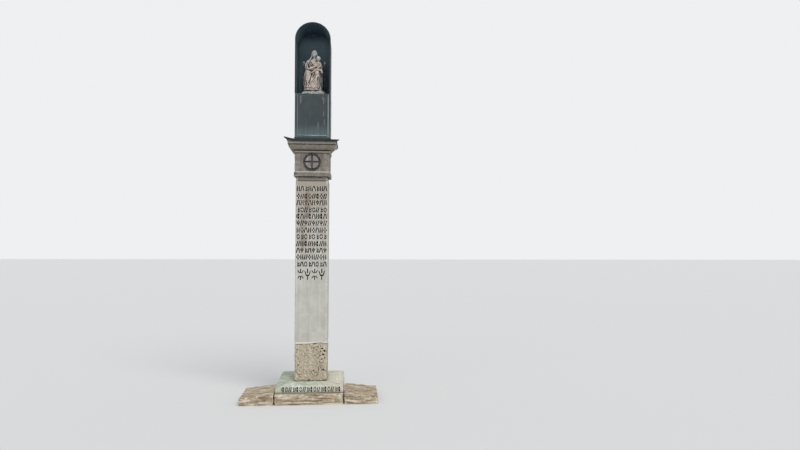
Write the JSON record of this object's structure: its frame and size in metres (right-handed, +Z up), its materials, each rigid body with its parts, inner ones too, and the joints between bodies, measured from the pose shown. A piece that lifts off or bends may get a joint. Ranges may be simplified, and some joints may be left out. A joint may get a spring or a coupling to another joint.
{
  "type": "wayside pillar shrine",
  "caption": "Square stone pillar shrine on a low stepped base, with a moulded capital, a cross medallion and an arched metal niche holding a carved mother and child.",
  "frame": {"origin": "middle of the underside of the low step", "axes": "+Z up, the niche and the medallion face -Y, +X is the viewer's right"},
  "size_m": [1.333, 0.782, 3.7727],
  "materials": {
    "step_stone": "tan stone, tooled faces and chipped edges",
    "plinth_stone": "pale grey-green stone, weathered",
    "foot_stone": "rough pitted tan stone",
    "shaft_stone": "smooth pale stone, stained brown towards the top",
    "mortar": "recessed lime mortar",
    "capital_stone": "brown-grey stone, sooted in its hollows",
    "flashing_metal": "dark weathered sheet metal",
    "box_metal": "slate-grey painted sheet metal with pale streaks",
    "hood_metal": "dark blue-grey painted sheet metal",
    "rim_metal": "near-black painted rim",
    "carved_stone": "warm beige carved stone, dark in the folds"
  },
  "bodies": {
    "root": {"foundation_slab": "step_stone", "foundation_block_left": "step_stone", "foundation_block_right": "step_stone", "plinth_block": "plinth_stone", "shaft_foot_stone": "foot_stone", "shaft_monolith": "shaft_stone", "neck_mortar_bed": "mortar", "capital_die": "capital_stone", "medallion_disc": "capital_stone", "medallion_wreath": "capital_stone", "cornice_stone": "capital_stone", "capital_flashing": "flashing_metal", "box_front_panel": "box_metal", "box_back_panel": "box_metal", "box_left_panel": "box_metal", "box_right_panel": "box_metal", "corner_strip_front_left": "box_metal", "corner_strip_front_right": "box_metal", "corner_strip_back_left": "box_metal", "corner_strip_back_right": "box_metal", "box_skirt": "flashing_metal", "niche_floor": "box_metal", "hood_left_wall": "hood_metal", "hood_right_wall": "hood_metal", "hood_back_wall": "hood_metal", "hood_vault": "hood_metal", "hood_rim_left": "rim_metal", "hood_rim_right": "rim_metal", "hood_rim_arch": "rim_metal", "statue_group": "carved_stone"}
  },
  "joints": []
}
